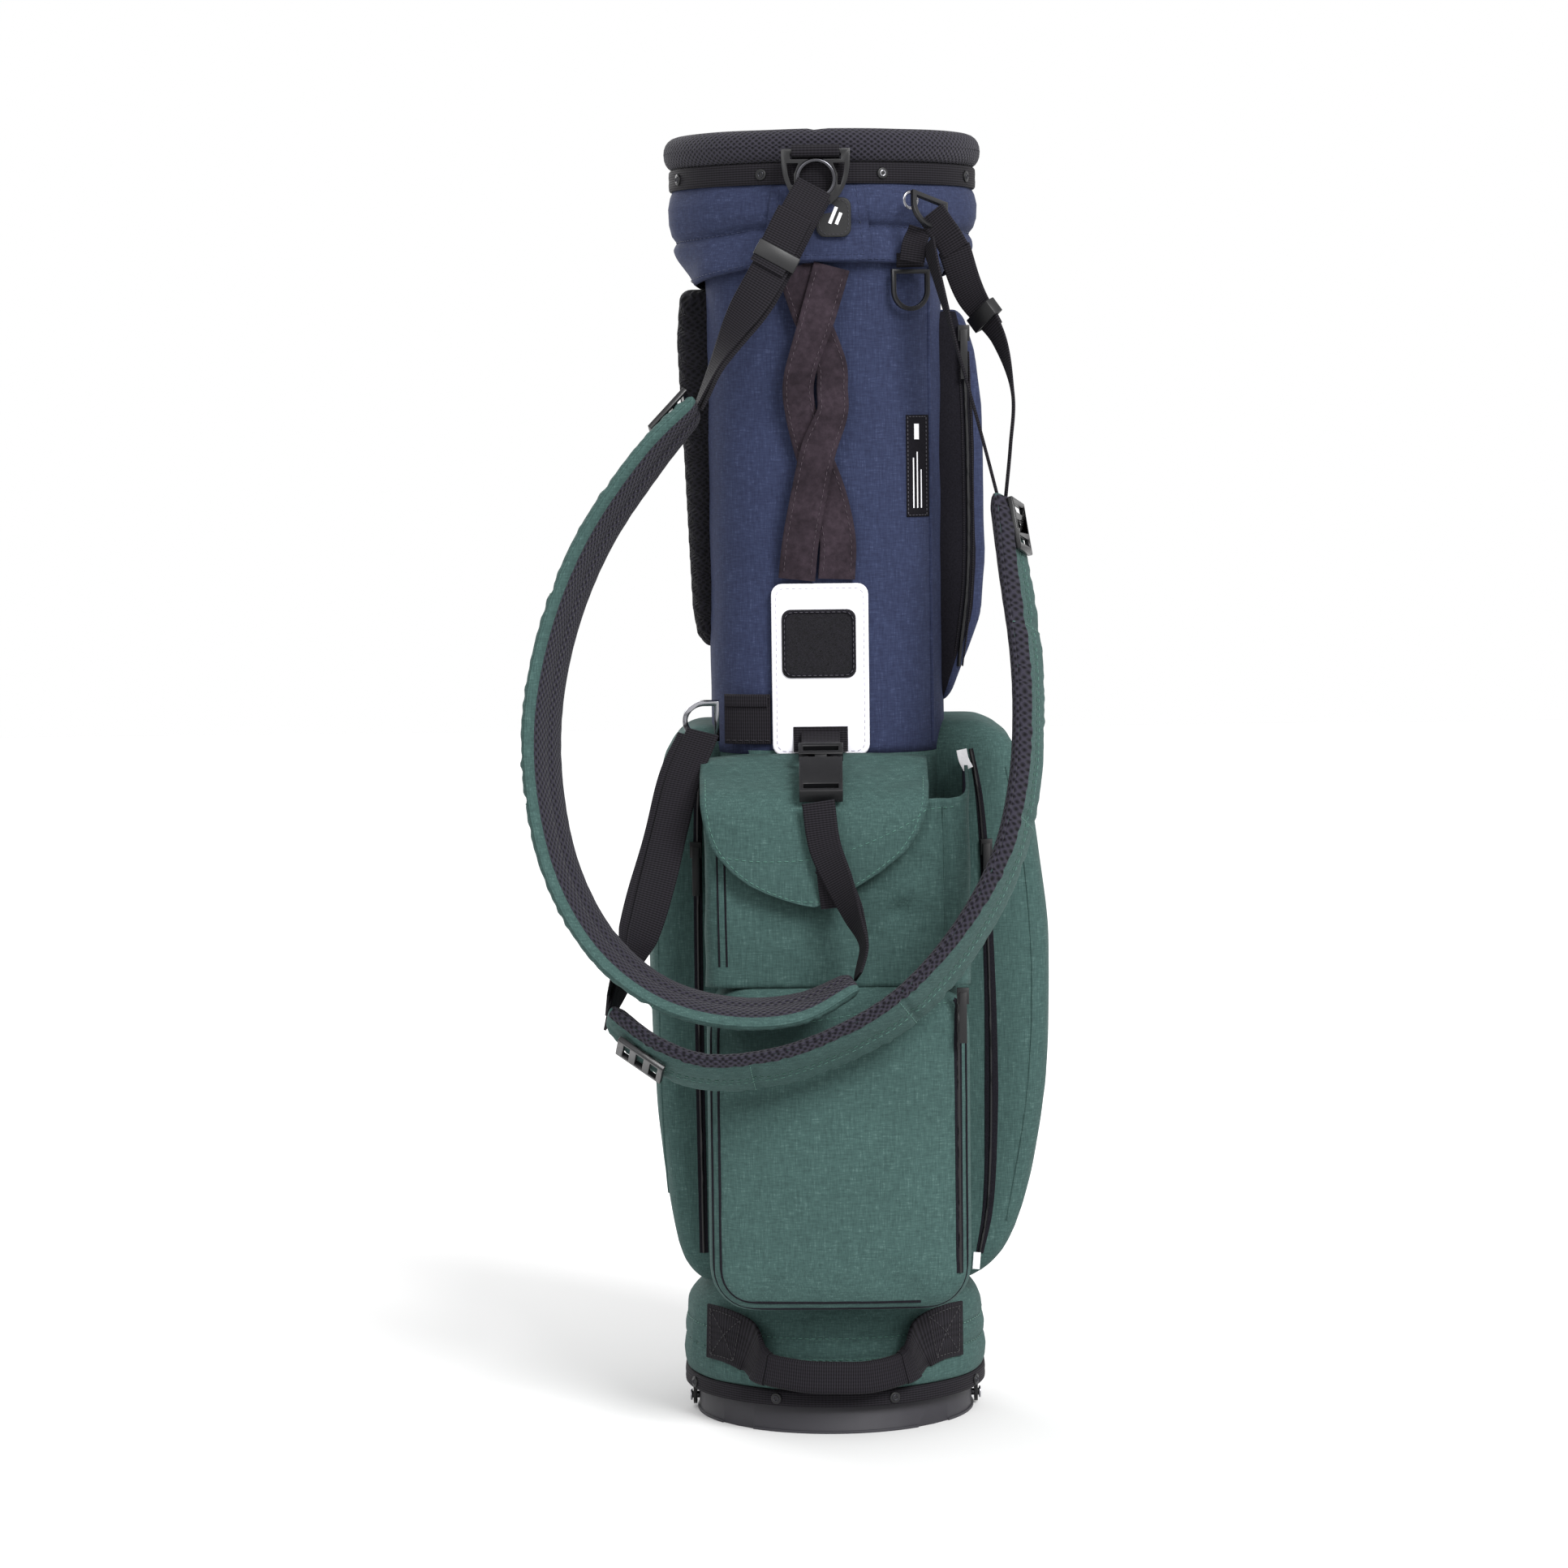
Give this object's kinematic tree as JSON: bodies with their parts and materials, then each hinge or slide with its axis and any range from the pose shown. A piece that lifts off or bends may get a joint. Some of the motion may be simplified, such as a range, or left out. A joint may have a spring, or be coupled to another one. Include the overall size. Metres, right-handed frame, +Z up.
{
  "type": "golf stand bag",
  "caption": "Golf stand bag: soft oval tube with a padded mouth and dividers, hinged foot, folding legs, zipped pockets, a flap pouch and a looped shoulder strap with padded arms.",
  "frame": {"origin": "middle of the foot's underside, on the floor", "axes": "+Z up the bag; -Y towards the shoulder strap, the handle and the ball pocket; +Y towards the legs; +X to the side with the tall upper pocket"},
  "size_m": [0.3526, 0.3707, 0.8892],
  "materials": {
    "navy_cloth": "matte heathered weave",
    "green_cloth": "matte heathered weave",
    "black_mesh": "spacer mesh",
    "black_webbing": "woven webbing",
    "brown_webbing": "soft ribbon",
    "lining": "smooth lining cloth",
    "hook_loop": "hook tape",
    "white_vinyl": "satin grained vinyl",
    "black_plastic": "moulded, satin",
    "base_plastic": "moulded, matte",
    "rubber": "matte",
    "steel": "polished",
    "dark_aluminium": "anodised"
  },
  "bodies": {
    "foot": {"base_foot": "base_plastic", "hinge_pin_left": "steel", "hinge_pin_right": "steel"},
    "bag": {"bottom_ring": "black_plastic", "bottom_trim": "black_webbing", "lower_shell": "green_cloth", "upper_shell": "navy_cloth", "collar_cuff": "navy_cloth", "top_trim": "black_webbing", "top_frame": "black_plastic", "rim_pad": "black_mesh", "divider_panels": "lining", "leg_bracket": "black_plastic", "rod_guide": "black_plastic", "side_pocket_left": "green_cloth", "side_pocket_right": "green_cloth", "upper_pocket": "navy_cloth", "hip_pad": "black_mesh", "ball_pocket": "green_cloth", "pouch": "green_cloth", "pouch_flap": "green_cloth", "glove_patch": "white_vinyl", "hook_loop_patch": "hook_loop", "collar_patch": "rubber", "handle_strand_left": "brown_webbing", "handle_strand_right": "brown_webbing", "base_handle": "black_webbing", "strap_pad_left": "green_cloth", "strap_pad_right": "green_cloth", "webbing_left_top": "black_webbing", "webbing_left_bottom": "black_webbing", "webbing_right_inner": "black_webbing", "webbing_right_outer": "black_webbing", "webbing_right_bottom": "black_webbing", "d_ring_webbing": "black_webbing", "buckle_webbing": "black_webbing", "strap_ring_loop": "black_webbing", "towel_ring_tab": "black_webbing", "strap_ring": "black_plastic", "collar_side_ring": "black_plastic", "buckle_plug": "black_plastic", "buckle_socket": "black_plastic", "keeper_left": "black_plastic", "keeper_right": "black_plastic", "ladder_lock_left": "black_plastic", "ladder_lock_right": "black_plastic", "ladder_lock_bottom": "black_plastic"},
    "leg_left": {"leg_tube_left": "dark_aluminium", "leg_foot_left": "rubber"},
    "leg_right": {"leg_tube_right": "dark_aluminium", "leg_foot_right": "rubber"},
    "pusher": {"actuator_rod": "steel"},
    "towel_loop": {"towel_ring": "black_plastic"},
    "strap_d_ring": {"metal_d_ring": "steel"},
    "snap_left": {"buckle_arm_left": "black_plastic"},
    "snap_right": {"buckle_arm_right": "black_plastic"},
    "pull_ball": {"zip_pull_ball": "black_plastic"},
    "pull_upper": {"zip_pull_upper": "black_plastic"},
    "pull_side_left": {"zip_pull_side_left": "black_plastic"},
    "pull_side_right": {"zip_pull_side_right": "black_plastic"}
  },
  "joints": [
    {"name": "bag_lean", "type": "hinge", "parent": "foot", "child": "bag", "pos_m": [0, 0, 0.008], "axis": [-1, 0, 0], "range_deg": [0, 24]},
    {"name": "leg_left_open", "type": "hinge", "parent": "bag", "child": "leg_left", "pos_m": [-0.038, 0.118, 0.772], "axis": [0.9369, 0.3492, -0.0187], "range_deg": [0, 43.5]},
    {"name": "leg_right_open", "type": "hinge", "parent": "bag", "child": "leg_right", "pos_m": [0.038, 0.118, 0.772], "axis": [0.9369, -0.3492, 0.0187], "range_deg": [0, 43.5]},
    {"name": "pusher_slide", "type": "slide", "parent": "bag", "child": "pusher", "axis": [0, 0, 1], "range_m": [0, 0.0475]},
    {"name": "towel_ring_swing", "type": "hinge", "parent": "bag", "child": "towel_loop", "pos_m": [0.059, -0.0895, 0.7935], "axis": [-0.9135, -0.4067, 0], "range_deg": [0, 60]},
    {"name": "d_ring_swing", "type": "hinge", "parent": "bag", "child": "strap_d_ring", "pos_m": [-0.0757, -0.083, 0.491], "axis": [0, 0.3746, -0.9272], "range_deg": [0, 35]},
    {"name": "snap_left_press", "type": "hinge", "parent": "bag", "child": "snap_left", "pos_m": [-0.0146, -0.1349, 0.4682], "axis": [0, -0.5736, 0.8191], "range_deg": [0, 4], "stiffness_Nm_per_rad": 0.4},
    {"name": "snap_right_press", "type": "hinge", "parent": "bag", "child": "snap_right", "pos_m": [0.0046, -0.1349, 0.4682], "axis": [0, 0.5736, -0.8191], "range_deg": [0, 4], "stiffness_Nm_per_rad": 0.4},
    {"name": "ball_zip", "type": "slide", "parent": "bag", "child": "pull_ball", "axis": [0, 0, -1], "range_m": [0, 0.15]},
    {"name": "upper_zip", "type": "slide", "parent": "bag", "child": "pull_upper", "axis": [0, 0, -1], "range_m": [0, 0.16]},
    {"name": "side_zip_left", "type": "slide", "parent": "bag", "child": "pull_side_left", "axis": [0, 0, -1], "range_m": [0, 0.2]},
    {"name": "side_zip_right", "type": "slide", "parent": "bag", "child": "pull_side_right", "axis": [0, 0, -1], "range_m": [0, 0.2]}
  ],
  "couplings": [
    {"joint": "leg_left_open", "follows": "bag_lean", "ratio": 1.8073},
    {"joint": "leg_right_open", "follows": "bag_lean", "ratio": 1.8073},
    {"joint": "pusher_slide", "follows": "bag_lean", "m_per_rad": 0.1122}
  ]
}
